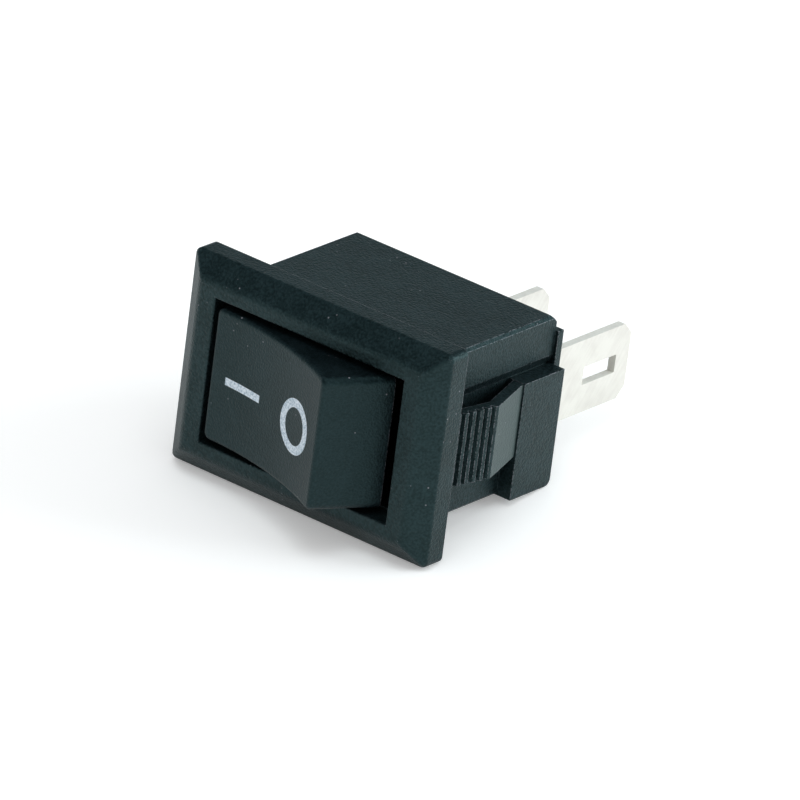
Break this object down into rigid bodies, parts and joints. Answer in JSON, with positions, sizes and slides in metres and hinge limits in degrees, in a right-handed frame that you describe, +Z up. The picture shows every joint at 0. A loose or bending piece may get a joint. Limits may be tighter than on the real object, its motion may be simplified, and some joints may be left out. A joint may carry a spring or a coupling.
{
  "type": "panel rocker switch",
  "caption": "Miniature snap-in panel rocker switch with blade terminals, a tilting button and sprung wings that grip the panel.",
  "frame": {"origin": "centre of the bezel's seat, in the plane of the panel's front face", "axes": "+X along the bezel towards the O end, +Y into the panel towards the terminals, +Z up across the bezel"},
  "size_m": [0.015, 0.0201, 0.0104],
  "materials": {
    "housing_nylon": "black glass-filled nylon, fine spark texture",
    "rocker_nylon": "black nylon, fine matte texture",
    "plunger_plastic": "smooth natural acetal",
    "spring_steel": "bright drawn wire",
    "strip_bronze": "rolled phosphor bronze",
    "contact_silver": "satin silver alloy",
    "blade_tin": "bright tin plate on brass",
    "marking_ink": "pale blue-white printed ink of the I and O marks"
  },
  "bodies": {
    "base": {"housing": "housing_nylon", "common_terminal": "blade_tin", "switched_terminal": "blade_tin", "fixed_contact_tip": "contact_silver"},
    "button": {"rocker": "rocker_nylon", "plunger_spring": "spring_steel"},
    "plunger": {"plunger": "plunger_plastic"},
    "see_saw": {"moving_contact": "strip_bronze", "moving_contact_tip": "contact_silver"}
  },
  "joints": [
    {"name": "rocker_hinge", "type": "hinge", "parent": "base", "child": "button", "pos_m": [0, 0.00106, 0], "axis": [0, 0, 1], "range_deg": [0, 32]},
    {"name": "plunger_slide", "type": "slide", "parent": "button", "child": "plunger", "axis": [0.2756, 0.9613, 0], "range_m": [-0.0003, 0.0001], "stiffness_N_per_m": 2, "deforming": ["plunger_spring"]},
    {"name": "see_saw_hinge", "type": "hinge", "parent": "base", "child": "see_saw", "pos_m": [0, 0.0064, 0], "axis": [0, 0, 1], "range_deg": [-14, 0]}
  ],
  "couplings": [
    {"joint": "see_saw_hinge", "follows": "rocker_hinge", "ratio": -0.4375}
  ]
}
